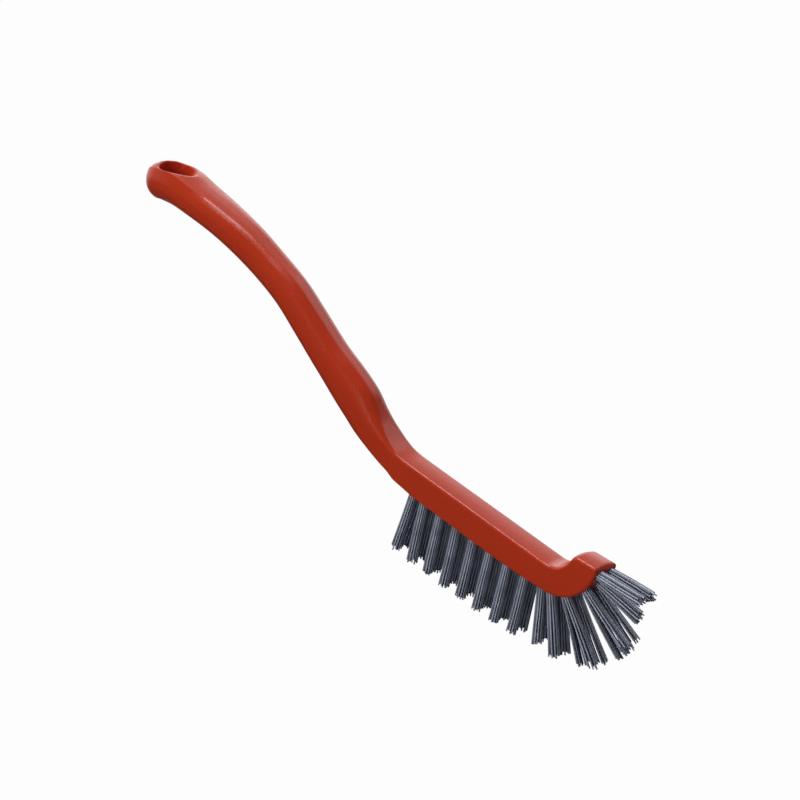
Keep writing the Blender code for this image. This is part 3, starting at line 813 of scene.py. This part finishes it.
def studioWorld():
    world = bpy.data.worlds.new("studioWorld")
    bpy.context.scene.world = world
    world.use_nodes = True
    tree = world.node_tree
    tree.nodes.clear()
    ray = addNode(tree, "ShaderNodeLightPath")
    direction = addNode(tree, "ShaderNodeTexCoord").outputs["Generated"]
    shine = reflectedWhite(tree, direction, stage["worldSweep"])
    strength = addNode(tree, "ShaderNodeMix", None, {
        "Factor": ray.outputs["Is Glossy Ray"], "A": 1.0, "B": shine})
    seen = addNode(tree, "ShaderNodeMath", {"operation": "MAXIMUM"}, {
        0: ray.outputs["Is Camera Ray"], 1: ray.outputs["Is Glossy Ray"]})
    through = addNode(tree, "ShaderNodeMath", {"operation": "MAXIMUM"}, {
        0: seen.outputs["Value"], 1: ray.outputs["Is Transmission Ray"]})
    light = addNode(tree, "ShaderNodeBackground", None, {"Color": pureWhite, "Strength": stage["ambient"]})
    white = addNode(tree, "ShaderNodeBackground", None, {
        "Color": pureWhite, "Strength": strength.outputs[0]})
    mixed = addNode(tree, "ShaderNodeMixShader", None, {
        0: through.outputs["Value"], 1: light.outputs["Background"], 2: white.outputs["Background"]})
    addNode(tree, "ShaderNodeOutputWorld", None, {"Surface": mixed.outputs["Shader"]})


# Soft boxes: direction from the brush, distance, side, radiance, and whether the brush mirrors it
softBoxes = {
    "backLight": {
        "towards": (-0.65, 0.5, 0.57), "distance": 1.8, "size": 2.6, "radiance": 1.2, "mirrored": False},
    "keyLight": {
        "towards": (0.0, -0.97, 0.25), "distance": 1.7, "size": 0.9, "radiance": 5.2, "mirrored": False},
    "skyLight": {
        "towards": (-0.05, 0.6, 0.8), "distance": 1.8, "size": 1.2, "radiance": 1.0, "mirrored": True},
    "rimLight": {
        "towards": (-0.72, 0.64, 0.2), "distance": 1.8, "size": 1.1, "radiance": 0.7, "mirrored": True},
    "edgeLight": {
        "towards": (-0.63, -0.18, 0.76), "distance": 1.2, "size": 0.5, "radiance": 6.6, "mirrored": True},
}


def makeLights(centre):
    for name, box in softBoxes.items():
        light = bpy.data.lights.new(name, "AREA")
        light.shape, light.size = "SQUARE", box["size"]
        light.energy = box["radiance"] * math.pi * box["size"] ** 2
        lamp = bpy.data.objects.new(name, light)
        bpy.context.scene.collection.objects.link(lamp)
        away = Vector(box["towards"]).normalized()
        lamp.location = centre + away * box["distance"]
        lamp.rotation_euler = away.to_track_quat("Z", "Y").to_euler()
        lamp.visible_camera, lamp.visible_glossy = False, box["mirrored"]


# The camera looks down on the nose's right side and is rolled, as the photograph is
camera = {
    "azimuth": 44.04, "elevation": 26.21, "roll": 11.95, "distance": 0.8, "lens": 103.32,
    "target": (14.303, 0.0, 51.97),     # millimetres, in the frame
    "sensor": 36.0, "clipStart": 0.05, "clipEnd": 50.0,
}


def makeCamera():
    c = camera
    azimuth, elevation, roll = (math.radians(c[key]) for key in ("azimuth", "elevation", "roll"))
    outward = math.cos(elevation)
    back = Vector((math.sin(azimuth) * outward, -math.cos(azimuth) * outward, math.sin(elevation)))
    level = Vector((math.cos(azimuth), math.sin(azimuth), 0))
    upright = back.cross(level)
    right = math.cos(roll) * level + math.sin(roll) * upright
    up = -math.sin(roll) * level + math.cos(roll) * upright
    data = bpy.data.cameras.new("photoCamera")
    data.lens, data.sensor_width = c["lens"], c["sensor"]
    data.clip_start, data.clip_end = c["clipStart"], c["clipEnd"]
    obj = bpy.data.objects.new("photoCamera", data)
    bpy.context.scene.collection.objects.link(obj)
    turn = Matrix((right, up, back)).transposed()
    obj.matrix_world = Matrix.Translation(Vector(c["target"]) * mm + back * c["distance"]) @ turn.to_4x4()
    bpy.context.scene.camera = obj


whiteFloor()
studioWorld()
makeLights(Vector(stage["lightsAim"]))
makeCamera()
bpy.context.scene.view_settings.view_transform = "Standard"
print("floor, light and camera ready")
